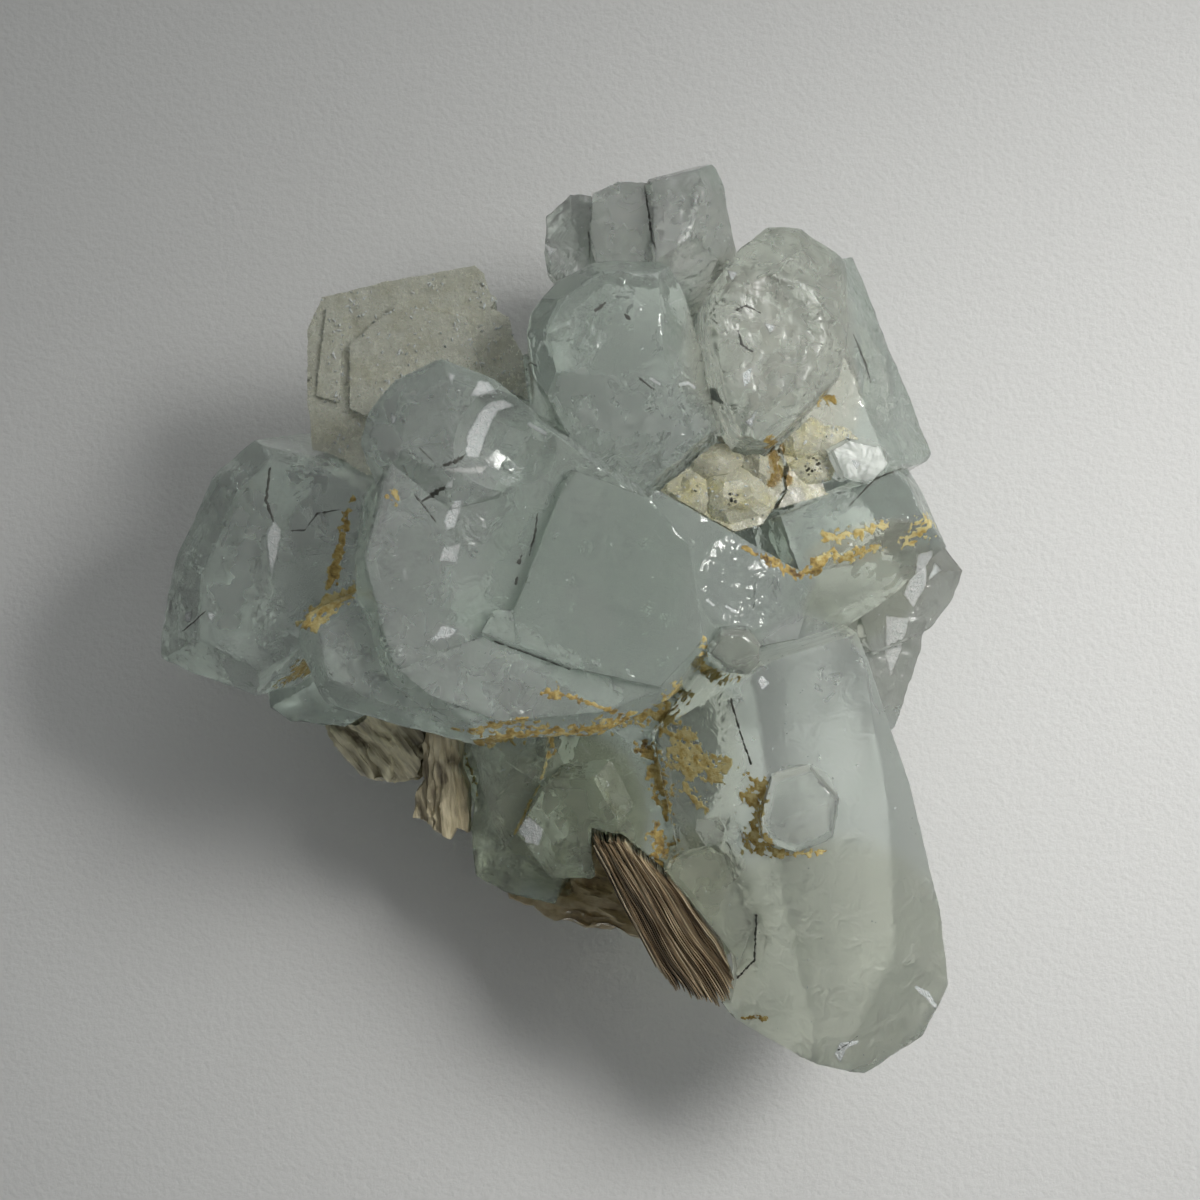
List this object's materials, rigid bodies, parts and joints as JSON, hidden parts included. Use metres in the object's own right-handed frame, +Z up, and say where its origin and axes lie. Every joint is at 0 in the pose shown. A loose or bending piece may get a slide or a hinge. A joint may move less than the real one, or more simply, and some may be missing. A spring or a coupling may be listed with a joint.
{
  "type": "aquamarine cluster",
  "caption": "Loose mineral cluster of stubby pale blue-green aquamarine crystals with a frosted plate, yellow stained crust and brown mica books, resting on its broken underside",
  "frame": {"origin": "middle of the flat broken face that the cluster rests on", "axes": "+Z points up, away from the resting face; +Y runs along the cluster's longest side, from the big lower prism towards the small crystals at the far end; +X completes the right-handed frame"},
  "size_m": [0.0643, 0.0722, 0.039],
  "materials": {
    "aquamarine": "glossy, milky, finely etched",
    "frosted_crystal": "sugary and frosted",
    "stained_crust": "rough, stained ochre yellow",
    "mica": "layered, satin to pearly"
  },
  "bodies": {
    "root": {"aquamarine_crystals": "aquamarine", "frosted_plate": "frosted_crystal", "stained_crust_lower": "stained_crust", "stained_crust_upper": "stained_crust", "mica_book_front": "mica", "mica_book_left": "mica", "mica_fan": "mica", "mica_flakes_low": "mica"}
  },
  "joints": []
}
